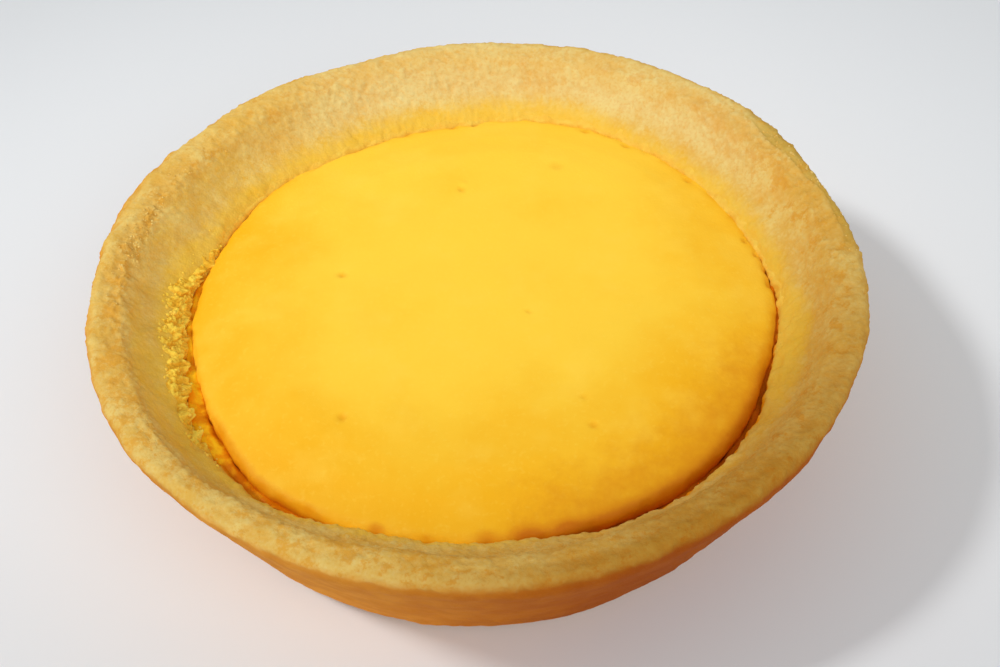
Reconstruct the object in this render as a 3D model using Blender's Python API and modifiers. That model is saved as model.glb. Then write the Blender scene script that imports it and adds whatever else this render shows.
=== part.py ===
"""A cheese tart: a thick, sandy shortcrust case and the baked cheese filling inside it.

The script works in metres with +Z up. The origin is the middle of the flat base, which rests on z = 0.
Each piece is turned from an outline, then made uneven by the swellings, dips and lumps of hand-baked pastry.
Azimuths are degrees counterclockwise from +X. The side round 200 degrees has the widest gap beside the
filling, and the crumbliest crust is next to it.
"""

import math

import bmesh
import bpy
from mathutils import Matrix, Vector, noise

MM = 0.001
TURNS = 120  # facets round the tart
ARC_STEP = math.radians(28.0)  # turn of an outline from one point to the next, round a corner
SMALL = 1e-9

# Crust, as a baker's tin shapes it: a flat base, a side that leans out, and a rounded rim
BASE_RADIUS = 33.9 * MM
RIM_RADIUS = 43.1 * MM  # where the side meets the rim, before that corner is rounded
RIM_HEIGHT = 20.5 * MM  # of both edges of the rim
CREST_RADIUS = 40.7 * MM
CREST_HEIGHT = 21.15 * MM
CREASE_RADIUS = 38.6 * MM  # where the rim turns down to the filling
FLOOR_HEIGHT = 4.4 * MM  # thickness of the base, which the filling lies on
FLOOR_RADIUS = 29.8 * MM

# Filling: a low dome with a rolled edge, a little way down inside the rim
FILLING_LEVEL = 14.5 * MM  # of the edge of the filling, before it is rounded
BED_LEAN = 0.44  # outward lean of the wall behind the filling, per unit of height
CLEARANCE = 0.35 * MM  # between the filling and the crust
DOME_RADIUS = 26.5 * MM
DOME_HEIGHT = 16.1 * MM
CENTRE_HEIGHT = 16.5 * MM

# Unevenness, as (azimuth, half width in degrees, size) swellings of a radius, negative for a dip
RIM_SWELLS = (
    (14, 14, -0.6 * MM), (38, 22, 0.5 * MM), (68, 28, 0.6 * MM), (108, 18, -0.6 * MM), (130, 20, 0.7 * MM),
    (156, 24, 0.8 * MM), (190, 24, 0.3 * MM), (232, 22, -0.6 * MM), (255, 24, -0.6 * MM),
    (332, 18, -0.4 * MM),
)
CREASE_SWELLS = (
    (62, 40, 0.5 * MM), (173, 14, 0.4 * MM), (219, 18, 0.6 * MM), (262, 24, -0.4 * MM), (325, 35, 0.4 * MM),
)
FILLING_SWELLS = (
    (0, 24, 0.4 * MM), (42, 30, 0.4 * MM), (68, 22, 0.9 * MM), (100, 22, -0.8 * MM), (122, 24, -1.1 * MM),
    (160, 25, -0.9 * MM), (195, 36, -0.9 * MM), (232, 24, 0.5 * MM), (310, 30, 0.6 * MM),
)
GAP_SWELLS = (
    (180, 20, 0.6 * MM), (206, 22, 2.2 * MM), (228, 20, 0.9 * MM), (268, 30, 0.4 * MM), (318, 28, 0.9 * MM),
    (350, 18, 0.2 * MM),
)
GAP_BOTTOM = 8.5 * MM  # height at which the gap has closed up
CRUMBLY = ((25, 30, 0.5), (182, 48, 1.0))  # how far the crust has broken into crumbs, from 0 to 1

# Relief, as (size of one lump, height of it)
SIDE_LUMPS = ((11.0 * MM, 0.22 * MM), (4.5 * MM, 0.10 * MM))
CRUMB_LUMPS = ((2.6 * MM, 0.34 * MM),)
DOME_LUMPS = ((21.0 * MM, 0.26 * MM), (8.0 * MM, 0.06 * MM))
BASE_ZONE = 3.0 * MM  # height over which the relief fades out towards the base

# Linear RGB and roughness
CRUST_LOOK = ((0.70, 0.39, 0.095, 1.0), 0.85)
FILLING_LOOK = ((0.95, 0.56, 0.030, 1.0), 0.38)


def fade(low, high, value):
    """0 up to low, 1 from high on, and a smooth rise between them."""
    part = min(1.0, max(0.0, (value - low) / (high - low)))
    return part * part * (3.0 - 2.0 * part)


def swelling(swells, azimuth):
    """The sum at this azimuth of (centre, half width, size) swellings, each a smooth hump."""
    total = 0.0
    for centre, half_width, size in swells:
        away = abs((azimuth - centre + 180.0) % 360.0 - 180.0)
        total += size * (0.5 + 0.5 * math.cos(math.pi * min(1.0, away / half_width)))
    return total


def lumps(point, layers):
    """Height of the lumps of each (size, height) layer at this point."""
    return sum(height * noise.noise(point / size) for size, height in layers)


def rounded_outline(corners):
    """The points of an outline through (radius, height, fillet, spacing) corners.

    The fillet rounds the corner, and the spacing divides the straight run that leads up to it.
    """
    places = [Vector((corner[0], corner[1])) for corner in corners]
    points = [places[0]]
    for index in range(1, len(corners)):
        fillet, spacing = corners[index][2:]
        if fillet:
            back = (places[index - 1] - places[index]).normalized()
            ahead = (places[index + 1] - places[index]).normalized()
            half = back.angle(ahead) / 2.0
            centre = places[index] + (back + ahead).normalized() * fillet / math.sin(half)
            start = places[index] + back * fillet / math.tan(half) - centre
            turn = start.angle_signed(places[index] + ahead * fillet / math.tan(half) - centre)
            steps = max(1, math.ceil(abs(turn) / ARC_STEP))
            arc = [centre + Matrix.Rotation(-turn * step / steps, 2) @ start for step in range(steps + 1)]
        else:
            arc = [places[index]]
        run = arc[0] - points[-1]
        pieces = max(1, round(run.length / spacing))
        points += [points[-1] + run * piece / pieces for piece in range(1, pieces)]
        points += arc
    return points


def turned(name, points):
    """A mesh turned round Z from an outline of (radius, height) points that starts and ends on the axis."""
    mesh = bpy.data.meshes.new(name + "_outline")
    outline = bmesh.new()
    verts = [outline.verts.new((point.x, 0.0, point.y)) for point in points]
    for first, second in zip(verts, verts[1:]):
        outline.edges.new((first, second))
    outline.to_mesh(mesh)
    outline.free()
    profile = bpy.data.objects.new(name + "_outline", mesh)
    bpy.context.scene.collection.objects.link(profile)
    screw = profile.modifiers.new("Turn", "SCREW")
    screw.axis = "Z"
    screw.angle = math.tau
    screw.steps = TURNS
    screw.render_steps = TURNS
    screw.use_merge_vertices = True
    screw.merge_threshold = 0.00005
    graph = bpy.context.evaluated_depsgraph_get()
    solid = bpy.data.meshes.new_from_object(profile.evaluated_get(graph))
    solid.name = name
    bpy.data.objects.remove(profile)
    return solid


def bed_radius(height):
    """Radius of the crust's wall behind the filling."""
    return FLOOR_RADIUS + (height - FLOOR_HEIGHT) * BED_LEAN


def inner_radius(height):
    """Radius of the crust's inner side, from the floor to the rim."""
    if height < FILLING_LEVEL:
        return bed_radius(height)
    rise = (height - FILLING_LEVEL) / (RIM_HEIGHT - FILLING_LEVEL)
    return bed_radius(FILLING_LEVEL) + rise * (CREASE_RADIUS - bed_radius(FILLING_LEVEL))


def outer_radius(height):
    """Radius of the crust's outer side, from the base to the rim."""
    return BASE_RADIUS + (RIM_RADIUS - BASE_RADIUS) * height / RIM_HEIGHT


def crust_shift(radius, height, azimuth):
    """How far outward the crust has swollen here, blended from its inner side to its outer side."""
    filling = swelling(FILLING_SWELLS, azimuth)
    gap = swelling(GAP_SWELLS, azimuth) * fade(GAP_BOTTOM, FILLING_LEVEL, height)
    crease = swelling(CREASE_SWELLS, azimuth)
    rise = fade(FILLING_LEVEL, RIM_HEIGHT, height)
    inner = (filling + gap) * (1.0 - rise) + crease * rise
    outer = swelling(RIM_SWELLS, azimuth) * fade(0.0, RIM_HEIGHT, height)
    across = (radius - inner_radius(height)) / (outer_radius(height) - inner_radius(height))
    across = min(1.0, max(0.0, across))
    towards_centre = min(1.0, radius / inner_radius(height))
    shift = inner * (1.0 - across) * towards_centre + outer * across
    return shift * fade(0.0, BASE_ZONE, height)


def azimuth_of(point):
    return math.degrees(math.atan2(point.y, point.x))


def crust_relief(point):
    """Height of the crust's lumps and crumbs, which never stand out into the filling's place."""
    lump = lumps(point, SIDE_LUMPS)
    middle = (inner_radius(point.z) + outer_radius(point.z)) / 2.0
    if math.hypot(point.x, point.y) < middle or point.z > RIM_HEIGHT:
        lump += lumps(point, CRUMB_LUMPS) * swelling(CRUMBLY, azimuth_of(point))
        if point.z < FILLING_LEVEL + CLEARANCE:
            lump = -abs(lump) * fade(GAP_BOTTOM, FILLING_LEVEL, point.z)
    return lump * fade(0.0, BASE_ZONE, point.z)


def filling_shift(radius, height, azimuth):
    """How far outward the filling has swollen here, in step with the wall behind it."""
    return swelling(FILLING_SWELLS, azimuth) * min(1.0, radius / bed_radius(height))


def filling_relief(point):
    """Height of the soft swells of the filling's top, which fade out towards its side."""
    on_top = fade(FILLING_LEVEL - CLEARANCE, DOME_HEIGHT, point.z)
    return lumps(point, DOME_LUMPS) * on_top


def reshape(mesh, shift, relief):
    """Moves each point outward by its shift, then along the surface's normal by its relief."""
    shape = bmesh.new()
    shape.from_mesh(mesh)
    for vert in shape.verts:
        radius = math.hypot(vert.co.x, vert.co.y)
        if radius > SMALL:
            scale = 1.0 + shift(radius, vert.co.z, azimuth_of(vert.co)) / radius
            vert.co.x *= scale
            vert.co.y *= scale
    shape.normal_update()
    heights = [relief(vert.co) for vert in shape.verts]
    for vert, height in zip(shape.verts, heights):
        vert.co += height * vert.normal
    shape.to_mesh(mesh)
    shape.free()


def material(name, colour, roughness):
    """A Principled material of one colour."""
    made = bpy.data.materials.new(name)
    made.use_nodes = True
    made.diffuse_color = colour
    shader = made.node_tree.nodes["Principled BSDF"]
    shader.inputs["Base Color"].default_value = colour
    shader.inputs["Roughness"].default_value = roughness
    return made


def add_piece(name, mesh, look, collection):
    """The named object of one piece of the tart."""
    mesh.materials.append(material(name, *look))
    mesh.shade_smooth()
    mesh.set_sharp_from_angle(angle=math.radians(50.0))
    piece = bpy.data.objects.new(name, mesh)
    collection.objects.link(piece)
    return piece


def crust_mesh():
    """The case: up its inner side, over the rim and down its outer side to the base."""
    outline = rounded_outline((
        (0.0, FLOOR_HEIGHT, 0.0, 0.0),
        (FLOOR_RADIUS, FLOOR_HEIGHT, 3.0 * MM, FLOOR_RADIUS),
        (bed_radius(FILLING_LEVEL), FILLING_LEVEL, 4.0 * MM, 1.8 * MM),
        (CREASE_RADIUS, RIM_HEIGHT, 1.1 * MM, 1.0 * MM),
        (CREST_RADIUS, CREST_HEIGHT, 2.5 * MM, 0.9 * MM),
        (RIM_RADIUS, RIM_HEIGHT, 1.2 * MM, 0.9 * MM),
        (BASE_RADIUS, 0.0, 1.5 * MM, 2.7 * MM),
        (0.0, 0.0, 0.0, BASE_RADIUS),
    ))
    mesh = turned("crust", outline)
    reshape(mesh, crust_shift, crust_relief)
    return mesh


def filling_mesh():
    """The filling: from the middle of its top, over its edge and down to the floor of the case."""
    bottom = FLOOR_HEIGHT + CLEARANCE
    outline = rounded_outline((
        (0.0, CENTRE_HEIGHT, 0.0, 0.0),
        (DOME_RADIUS, DOME_HEIGHT, 18.0 * MM, 6.5 * MM),
        (bed_radius(FILLING_LEVEL) - CLEARANCE, FILLING_LEVEL, 1.5 * MM, 1.8 * MM),
        (bed_radius(bottom) - CLEARANCE, bottom, 2.7 * MM, 4.0 * MM),
        (0.0, bottom, 0.0, FLOOR_RADIUS),
    ))
    mesh = turned("filling", outline)
    reshape(mesh, filling_shift, filling_relief)
    return mesh


for leftover in list(bpy.data.objects):
    bpy.data.objects.remove(leftover)
tart = bpy.data.collections.new("cheese_tart")
bpy.context.scene.collection.children.link(tart)
add_piece("crust", crust_mesh(), CRUST_LOOK, tart)
add_piece("filling", filling_mesh(), FILLING_LOOK, tart)
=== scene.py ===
import math
import random

import bpy
import numpy as np
from mathutils import Euler, Matrix, Vector, noise


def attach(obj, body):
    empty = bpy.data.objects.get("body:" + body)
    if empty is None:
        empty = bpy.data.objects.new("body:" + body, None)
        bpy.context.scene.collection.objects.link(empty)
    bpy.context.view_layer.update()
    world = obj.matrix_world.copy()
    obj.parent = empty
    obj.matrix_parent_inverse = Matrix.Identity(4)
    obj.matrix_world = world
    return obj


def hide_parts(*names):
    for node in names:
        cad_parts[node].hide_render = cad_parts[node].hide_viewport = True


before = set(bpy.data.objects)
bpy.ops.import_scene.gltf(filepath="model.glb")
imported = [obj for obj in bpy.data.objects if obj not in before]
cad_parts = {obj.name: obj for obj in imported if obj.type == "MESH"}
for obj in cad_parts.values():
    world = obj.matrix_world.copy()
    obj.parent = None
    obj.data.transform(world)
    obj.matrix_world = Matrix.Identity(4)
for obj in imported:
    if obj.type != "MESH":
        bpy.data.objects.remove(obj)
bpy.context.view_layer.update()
bpy.ops.object.select_all(action="DESELECT")

# ---- The crust ----
# The case is sweet shortcrust, pressed into a plain round tin and baked until it is golden. The tin left its
# side smooth and brown, and the sandy rim has crumbled in two places. It is turned from its outline, drawn
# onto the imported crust, and roughened by one layer of relief after another.

MM = 0.001  # of a metre

CRUST_STEPS = 960  # round the tart
CRUST_EVENING = 12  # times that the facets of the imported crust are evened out
BASE_RADIUS = 33.9 * MM
RIM_RADIUS = 43.1 * MM
RIM_LEVEL = 20.5 * MM
CRUST_OUTLINE = (  # (radius, height, rings up to here), from the middle of the floor to the middle of the base
    (0.0, 4.4 * MM, 1),
    (29.8 * MM, 4.4 * MM, 2),
    (33.0 * MM, 11.6 * MM, 2),
    (34.2 * MM, 14.5 * MM, 8),
    (38.6 * MM, RIM_LEVEL, 30),
    (40.7 * MM, 21.15 * MM, 9),
    (RIM_RADIUS, RIM_LEVEL, 10),
    (BASE_RADIUS, 0.0, 39),
    (0.0, 0.0, 3),
)
FOOT_LEVEL = 14.6 * MM  # where the wall swells in to meet the filling
FOOT_REACH = 3.4 * MM  # how far above and below that the wall swells
WIDEST_LEVEL = 13.4 * MM  # where the filling is widest
GAP_ROUND = (  # (azimuth, gap) from the filling's edge to the wall's foot; below 0 the foot laps over the edge
    (0, 0.4 * MM), (7, 0.0), (15, -0.4 * MM),
    (142, -0.4 * MM), (151, 0.3 * MM), (163, 0.4 * MM), (172, 0.9 * MM),
    (199, 1.2 * MM), (205, 2.5 * MM), (214, 2.3 * MM), (219, 1.4 * MM), (230, 1.2 * MM), (238, 0.5 * MM),
    (246, -0.2 * MM), (278, -0.2 * MM), (289, 0.8 * MM), (326, 0.9 * MM), (338, 0.4 * MM),
)
FOOT_UNEVEN = 0.35 * MM
FOOT_LUMPS = 1.7 * MM
RIM_OUT = (  # (azimuth, how far the rim's outer edge bulges)
    (10, 0.15 * MM), (22, 0.5 * MM), (36, 0.35 * MM), (48, 0.0),
    (146, 0.1 * MM), (154, 0.45 * MM), (162, 0.6 * MM), (171, 0.3 * MM), (184, 0.1 * MM), (196, 0.0),
    (312, 0.0), (324, 0.35 * MM), (337, 0.5 * MM), (350, 0.15 * MM),
)
CREASE_LIFT = 0.2 * MM  # how far the rim is pinched up at the front left
PINCH = (38.9 * MM, 1.8 * MM)  # the radius and the half width of what is pinched up
PINCHED_ABOVE = 17 * MM
CREASE = (39.3 * MM, 2.2 * MM)  # the radius and the half width of the crease along the rim
EDGE_HALF_WIDTH = 1.5 * MM  # of the rim's outer edge
EDGE_INSIDE = 0.2 * MM  # how far inside the outer line its middle is
CRACK_RADIUS = 40.9 * MM  # of the crack along the right of the rim
CRACK_WIDTH = 0.32 * MM
CRACK_DEPTH = 0.30 * MM
CRACK_STEP = 0.22 * MM  # how far the rim drops outside the crack
CRACK_WANDERS = ((0.35 * MM, 11), (0.15 * MM, 37))  # (how far, how many waves round the tart)
CRACKED_ABOVE = 19 * MM
RING_STEP = 3  # degrees
PROBE_FROM = 100 * MM  # well outside the tart
MERGE = 0.001 * MM
LEAST_WEIGHT = 0.003
CRUST_RELIEF = (  # (where, kind, size of its lumps, height, the texture's middle level, its settings)
    ("open", "CLOUDS", 5.0 * MM, 0.30 * MM, 0.62, {"noise_depth": 1}),
    ("sandy", "CLOUDS", 2.1 * MM, 0.26 * MM, 0.62, {"noise_depth": 1}),
    ("sandy", "VORONOI", 0.80 * MM, -0.26 * MM, 0.35, {}),
    ("sandy", "CLOUDS", 0.50 * MM, 0.24 * MM, 0.50, {"noise_depth": 1}),
    ("side", "CLOUDS", 2.2 * MM, 0.12 * MM, 0.50, {"noise_depth": 2}),
    ("side", "VORONOI", 1.4 * MM, -0.12 * MM, 0.30, {}),
    ("edge", "CLOUDS", 3.3 * MM, 0.40 * MM, 0.70, {"noise_depth": 1}),
    ("edge", "CLOUDS", 1.1 * MM, 0.22 * MM, 0.70, {"noise_depth": 2}),
    ("chipped", "VORONOI", 2.2 * MM, -0.55 * MM, 0.40, {}),
    ("crumbled", "CLOUDS", 0.9 * MM, 0.60 * MM, 0.62, {"noise_depth": 3, "noise_type": "HARD_NOISE"}),
)

# Bands of the crust, each from where it is 0 to where it is full
SKIN = (2.2 * MM, 1.2 * MM)  # what lay in the tin, by how far in from the outer line it is
SIDE_BELOW = (20.9 * MM, 19.6 * MM)
OPEN_ABOVE = (0.0, 1.2 * MM)
INSIDE_ABOVE = (7.0 * MM, 10.0 * MM)
SANDY_ABOVE = (11.0 * MM, 14.0 * MM)
SMOOTHER_BELOW = (20.0 * MM, 18.0 * MM)
CREASE_ABOVE = (19.0 * MM, 20.3 * MM)
EDGE_ABOVE = (18.2 * MM, 20.0 * MM)
BULGE_ABOVE = (17.0 * MM, 20.0 * MM)
BULGE_OUTSIDE = (39.5 * MM, 41.5 * MM)

# Stretches round the crust, each as (middle, half width, ends) in degrees of azimuth
FOOT_EVENER = (100, 45, 15)
CREASE_PINCHED = (236, 22, 14)
WALL_SMOOTHER = (178, 45, 20)
RIM_CHIPPED = (166, 22, 12)
RIM_CRACKED = (17, 14, 7)
# painted shade on the low wall at the front right
LOW_WALL_SHADED = (328, 6, 10)
# where less of the browning and the painted shade lies on the crease at the front
CREASE_LESS_BROWNED_AND_SHADED = (264, 22, 12)
CREASE_TOASTED = (22, 16, 10)
LEFT_CREASE_TOASTED = (181, 16, 12)
LEFT_WALL_UNTOASTED = (192, 28, 14)
SIDE_UNTANNED = (14, 24, 16)
WALL_LESS_STAINED = (305, 15, 20)
BACK_WALL_PALER = (76, 34, 30)
# painted light on the left wall, which lies in shade
LEFT_WALL_LIT = (188, 24, 16)
BROWNED_AND_SHADED_FROM = (240, 294)  # where the front and the right begin to be browned and painted with shade, and where that is full
BROWNED_AND_SHADED_TO = (385, 300)  # where it ends, past 360, and is still full

# Groups of stretches, each as (amount, middle, half width, ends)
BROKEN_RIM = ((1.0, 172, 12, 14), (1.0, 22, 18, 14))
RIM_TOASTED = ((1.0, 252, 12, 10), (1.0, 208, 8, 8))
# caramel at the foot of the wall, which at the front right is also painted shade in the gap
FOOT_BURNT_AND_SHADED = ((1.0, 220, 22, 12), (1.0, 318, 24, 12))
# painted light on the shaded left wall, tinted cheese yellow
LEFT_WALL_LIT_TINT = ((0.36, 182, 36, 16), (0.26, 208, 13, 12))
STAIN_LEVEL = 14.6 * MM  # how high the cheese has stained the wall, and how much higher in places
STAINED_HIGHER = (
    (1.3 * MM, 194, 24, 14), (0.4 * MM, 12, 16, 12), (0.6 * MM, 112, 40, 25), (1.9 * MM, 332, 14, 14),
)

# Linear colours of the baked pastry, and what they are multiplied by in places
PALE_DOUGH = (0.77, 0.550, 0.160, 1.0)
GOLDEN_DOUGH = (0.725, 0.440, 0.083, 1.0)
# the browned dough also darkens the hollows as painted shade
BROWNED_DOUGH = (0.70, 0.335, 0.034, 1.0)
# the palest dough: paler at the back of the wall, painted light on the left wall, and pale specks
PALEST_DOUGH = (0.77, 0.640, 0.290, 1.0)
SIDE_LIGHT = (0.80, 0.330, 0.034, 1.0)
SIDE_DARK = (0.71, 0.260, 0.022, 1.0)
# the cheese stain, and the cheese-yellow tint of painted light on the left wall
CHEESE_STAIN = (0.84, 0.515, 0.038, 1.0)
# the caramel also darkens the foot at the front right as painted shade
CARAMEL = (0.74, 0.270, 0.003, 1.0)
TIMES_BROWNER_AND_SHADED = (0.57, 0.42, 0.19, 1.0)  # where the oven browned it most, and painted shade where the light falls away to the front right
TIMES_SIDE_BROWNER_AND_SHADED = (0.80, 0.59, 0.19, 1.0)  # on the side there, as well
TIMES_CRACK_SHADE = (0.72, 0.78, 0.58, 1.0)  # painted shade, tinted olive, in the crack and on the dropped rim outside it


def apply(piece, kind, **settings):
    """Adds a modifier of this kind to the piece and applies it."""
    modifier = piece.modifiers.new(kind.title(), kind)
    for name, value in settings.items():
        setattr(modifier, name, value)
    bpy.context.view_layer.objects.active = piece
    bpy.ops.object.modifier_apply(modifier=modifier.name)


def turned(name, outline, steps):
    """A closed solid turned round Z from an outline that starts and ends on the axis."""
    points = [Vector((outline[0][0], 0.0, outline[0][1]))]
    for radius, height, rings in outline[1:]:
        start, end = points[-1], Vector((radius, 0.0, height))
        points += [start.lerp(end, ring / rings) for ring in range(1, rings + 1)]
    bpy.ops.mesh.primitive_plane_add(size=1 * MM)
    piece = bpy.context.object
    piece.name = piece.data.name = name
    bpy.ops.object.mode_set(mode="EDIT")
    bpy.ops.mesh.merge(type="CENTER")
    bpy.ops.transform.translate(value=points[0])
    for here, there in zip(points, points[1:]):
        bpy.ops.mesh.extrude_region_move(TRANSFORM_OT_translate={"value": there - here})
    bpy.ops.object.mode_set(mode="OBJECT")
    apply(piece, "SCREW", axis="Z", angle=math.tau, steps=steps, render_steps=steps)
    bpy.ops.object.mode_set(mode="EDIT")
    bpy.ops.mesh.select_all(action="SELECT")
    bpy.ops.mesh.remove_doubles(threshold=MERGE)
    bpy.ops.mesh.normals_make_consistent(inside=False)
    bpy.ops.object.mode_set(mode="OBJECT")
    bpy.ops.object.shade_smooth()
    return piece


def draw_onto(piece, node, evening):
    """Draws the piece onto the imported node, and evens out the facets that it takes from it."""
    apply(piece, "SHRINKWRAP", target=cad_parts[node], wrap_method="NEAREST_SURFACEPOINT")
    apply(piece, "SMOOTH", factor=0.5, iterations=evening)


def roughen(piece, layers):
    """Pushes the piece's surface out by one layer of relief after another, as the relief tables give them."""
    for group, kind, size, height, middle, settings in layers:
        texture = bpy.data.textures.new(piece.name + "_relief", kind)
        texture.noise_scale = size
        for name, value in settings.items():
            setattr(texture, name, value)
        apply(piece, "DISPLACE", texture=texture, strength=height, mid_level=middle, vertex_group=group)
    piece.vertex_groups.clear()


def places(piece):
    """The vertices of the piece, and the radius, the height and the azimuth in degrees of each one."""
    coords = np.empty(len(piece.data.vertices) * 3)
    piece.data.vertices.foreach_get("co", coords)
    coords = coords.reshape(-1, 3)
    azimuth = np.degrees(np.arctan2(coords[:, 1], coords[:, 0])) % 360.0
    return coords, np.hypot(coords[:, 0], coords[:, 1]), coords[:, 2], azimuth


def rise(low, high, value):
    """0 up to low, 1 from high on, and a smooth rise between them. With low above high it falls."""
    part = np.clip((value - low) / (high - low), 0.0, 1.0)
    return part * part * (3.0 - 2.0 * part)


def hump(value, middle, half_width):
    """1 at the middle and 0 from half a width away on, smooth between."""
    return 0.5 + 0.5 * np.cos(np.pi * np.minimum(1.0, np.abs(value - middle) / half_width))


def arc(azimuth, middle, half_width, ends):
    """1 along a stretch of the tart round an azimuth, falling to 0 over so many degrees at its ends."""
    away = np.abs((azimuth - middle + 180.0) % 360.0 - 180.0)
    return rise(half_width + ends, half_width, away)


def arcs(azimuth, stretches):
    """The sum of stretches round the tart, each given as (amount, middle, half width, ends)."""
    return sum(amount * arc(azimuth, *stretch) for amount, *stretch in stretches)


def round_by(azimuth, table):
    """The value at each azimuth, from a table of (azimuth, value)."""
    return np.interp(azimuth, *zip(*table), period=360)


def weigh(piece, name, amounts):
    """A vertex group of the piece, from an amount for each vertex."""
    group = piece.vertex_groups.new(name=name)
    for index in np.flatnonzero(amounts > LEAST_WEIGHT):
        group.add([int(index)], float(amounts[index]), "REPLACE")


def paint(piece, name, amounts):
    """An attribute of the piece for its material to read, from an amount for each vertex."""
    layer = piece.data.attributes.new(name, "FLOAT", "POINT")
    layer.data.foreach_set("value", np.asarray(amounts, dtype=np.float32))


def move_to(piece, coords):
    """Moves each vertex of the piece to its place in coords."""
    piece.data.vertices.foreach_set("co", coords.astype(np.float32).ravel())
    piece.data.update()


def probe_round(node, level, outwards):
    """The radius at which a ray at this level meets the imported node, every few degrees round the axis."""
    ring = []
    for azimuth in range(0, 360, RING_STEP):
        way = Vector((math.cos(math.radians(azimuth)), math.sin(math.radians(azimuth)), 0.0))
        start = Vector((0.0, 0.0, level)) + (Vector() if outwards else way * PROBE_FROM)
        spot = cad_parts[node].ray_cast(start, way if outwards else -way)[1]
        ring.append(math.hypot(spot.x, spot.y))
    return np.array(ring)


def along(ring, azimuth):
    """The ring's value at each azimuth."""
    return np.interp(azimuth, np.arange(0, 360, RING_STEP), ring, period=360)


def lumps(spots, size):
    """Smooth noise from about -1 to 1 at each spot, with lumps of this size."""
    return np.array([noise.noise(Vector(spot) / size) for spot in spots])


crust = turned("tart_crust", CRUST_OUTLINE, CRUST_STEPS)
draw_onto(crust, "crust", CRUST_EVENING)

# The wall's foot swells in, the rim bulges out, and its crease is pinched up at the front left
coords, radius, height, azimuth = places(crust)
outer_line = BASE_RADIUS + (RIM_RADIUS - BASE_RADIUS) * height / RIM_LEVEL
uneven = FOOT_UNEVEN * lumps(coords, FOOT_LUMPS) * (1.0 - 0.5 * arc(azimuth, *FOOT_EVENER))
packed_gap = probe_round("crust", FOOT_LEVEL, True) - probe_round("filling", WIDEST_LEVEL, False)
swell = along(packed_gap, azimuth) - (round_by(azimuth, GAP_ROUND) + uneven)
swell *= hump(height, FOOT_LEVEL, FOOT_REACH) * (outer_line - radius > SKIN[0])
bulge = round_by(azimuth, RIM_OUT) * rise(*BULGE_ABOVE, height) * rise(*BULGE_OUTSIDE, radius)
coords[:, :2] *= (1.0 + (bulge - swell) / np.maximum(radius, 1 * MM))[:, None]
pinched = hump(radius, *PINCH) * arc(azimuth, *CREASE_PINCHED) * (height > PINCHED_ABOVE)
coords[:, 2] += CREASE_LIFT * pinched
move_to(crust, coords)

# How much each vertex belongs to each kind of surface, and that surface's relief
smooth_crust, radius, height, azimuth = places(crust)
outside = rise(*SKIN, outer_line - radius)
side = outside * rise(*SIDE_BELOW, height)
open_side = side * rise(*OPEN_ABOVE, height)
inside = (1.0 - outside) * rise(*INSIDE_ABOVE, height)
sandy = np.maximum(inside * rise(*SANDY_ABOVE, height), outside - side)
sandy *= 1.0 - 0.4 * arc(azimuth, *WALL_SMOOTHER) * rise(*SMOOTHER_BELOW, height)
crease = hump(radius, *CREASE) * rise(*CREASE_ABOVE, height)
edge = hump(radius, outer_line - EDGE_INSIDE, EDGE_HALF_WIDTH) * rise(*EDGE_ABOVE, height)
crumbled = (0.25 + 0.75 * arcs(azimuth, BROKEN_RIM)) * np.maximum(crease, 0.8 * edge)

weigh(crust, "open", np.maximum(inside, open_side))
weigh(crust, "sandy", sandy)
weigh(crust, "side", open_side)
weigh(crust, "edge", edge)
weigh(crust, "chipped", edge * arc(azimuth, *RIM_CHIPPED))
weigh(crust, "crumbled", np.clip(crumbled, 0, 1))
roughen(crust, CRUST_RELIEF)

# The crack wanders along the right of the rim, which has dropped a little outside it
coords, radius, height, azimuth = places(crust)
crack_line = CRACK_RADIUS + sum(far * np.sin(np.radians(azimuth * waves)) for far, waves in CRACK_WANDERS)
cracked = (height > CRACKED_ABOVE) * arc(azimuth, *RIM_CRACKED)
crack = hump(radius, crack_line, CRACK_WIDTH) * cracked
coords[:, 2] -= CRACK_DEPTH * crack + CRACK_STEP * cracked * rise(crack_line, crack_line + 0.3 * MM, radius)
move_to(crust, coords)

# What the material reads
normals = np.empty(len(coords) * 3)
crust.data.vertex_normals.foreach_get("vector", normals)
relief = ((coords - smooth_crust) * normals.reshape(-1, 3)).sum(1)
turn = np.where(azimuth < 90, azimuth + 360, azimuth)  # so that the front and the right are one stretch
# Browner towards the front and the right: partly the oven's browning, and partly painted shade where the light
# falls away
browner_and_shaded = rise(*BROWNED_AND_SHADED_FROM, turn) * rise(*BROWNED_AND_SHADED_TO, turn) * rise(0.3 * MM, 3.0 * MM, height)
browner_and_shaded *= 1.0 - 0.6 * inside * rise(18 * MM, 15 * MM, height) * (1.0 - 0.7 * arc(azimuth, *LOW_WALL_SHADED))
browner_and_shaded *= 1.0 - (0.25 + 0.3 * arc(azimuth, *CREASE_LESS_BROWNED_AND_SHADED)) * inside * rise(41.0 * MM, 39.6 * MM, radius)
near_top = rise(18 * MM, 19.5 * MM, height)
toasted = (
    1.0 * hump(radius, 38.3 * MM, 2.2 * MM) * arc(azimuth, *CREASE_TOASTED) * near_top
    + 0.6 * hump(radius, 39.4 * MM, 1.7 * MM) * arc(azimuth, *LEFT_CREASE_TOASTED) * near_top
    + 0.5 * rise(20.0 * MM, 20.6 * MM, height) * arcs(azimuth, RIM_TOASTED)
    - 0.5 * inside * arc(azimuth, *LEFT_WALL_UNTOASTED) * rise(39.2 * MM, 38.0 * MM, radius)
    + 0.35 * edge + 0.25 * crease)
untanned = 0.85 * arc(azimuth, *SIDE_UNTANNED) * rise(15 * MM, 18 * MM, height)
stain_top = STAIN_LEVEL + arcs(azimuth, STAINED_HIGHER)
stained = rise(stain_top + 2.8 * MM, stain_top - 0.8 * MM, height)
stained *= 1.0 - 0.6 * arc(azimuth, *WALL_LESS_STAINED)
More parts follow.
